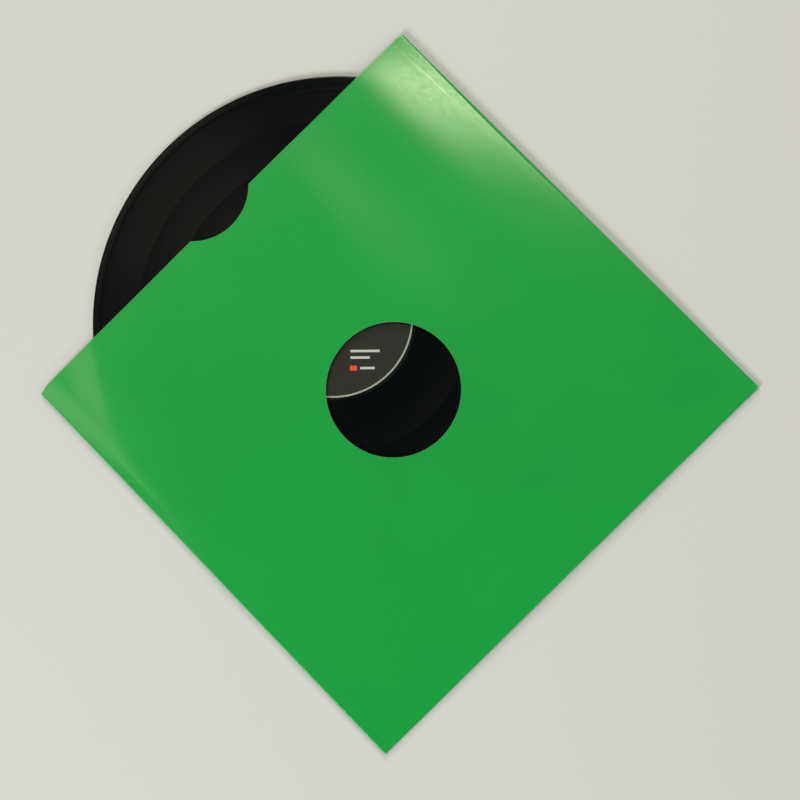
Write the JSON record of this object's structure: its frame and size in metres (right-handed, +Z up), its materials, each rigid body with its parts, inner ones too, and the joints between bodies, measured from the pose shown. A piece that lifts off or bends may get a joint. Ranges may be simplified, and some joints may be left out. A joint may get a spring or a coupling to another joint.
{
  "type": "record sleeve",
  "caption": "Square glossy card sleeve for a 12 inch record, with a round label window and a thumb notch; the grooved disc slides out of its open side.",
  "frame": {"origin": "on the surface that the sleeve lies on, under the middle of the sleeve and the drawn-out record together", "axes": "+X along the sleeve's mouth, +Y out of the mouth, the way the record is drawn, +Z up through the front panel"},
  "size_m": [0.316, 0.363, 0.006],
  "materials": {
    "sleeve_card": "gloss",
    "record_vinyl": "gloss",
    "label_paper": "satin"
  },
  "bodies": {
    "sleeve": {"sleeve": "sleeve_card"},
    "record": {"record_disc": "record_vinyl", "label_front": "label_paper", "label_back": "label_paper"}
  },
  "joints": [
    {"name": "record_slide", "type": "slide", "parent": "sleeve", "child": "record", "axis": [0, 1, 0], "range_m": [-0.0604, 0.248]}
  ]
}
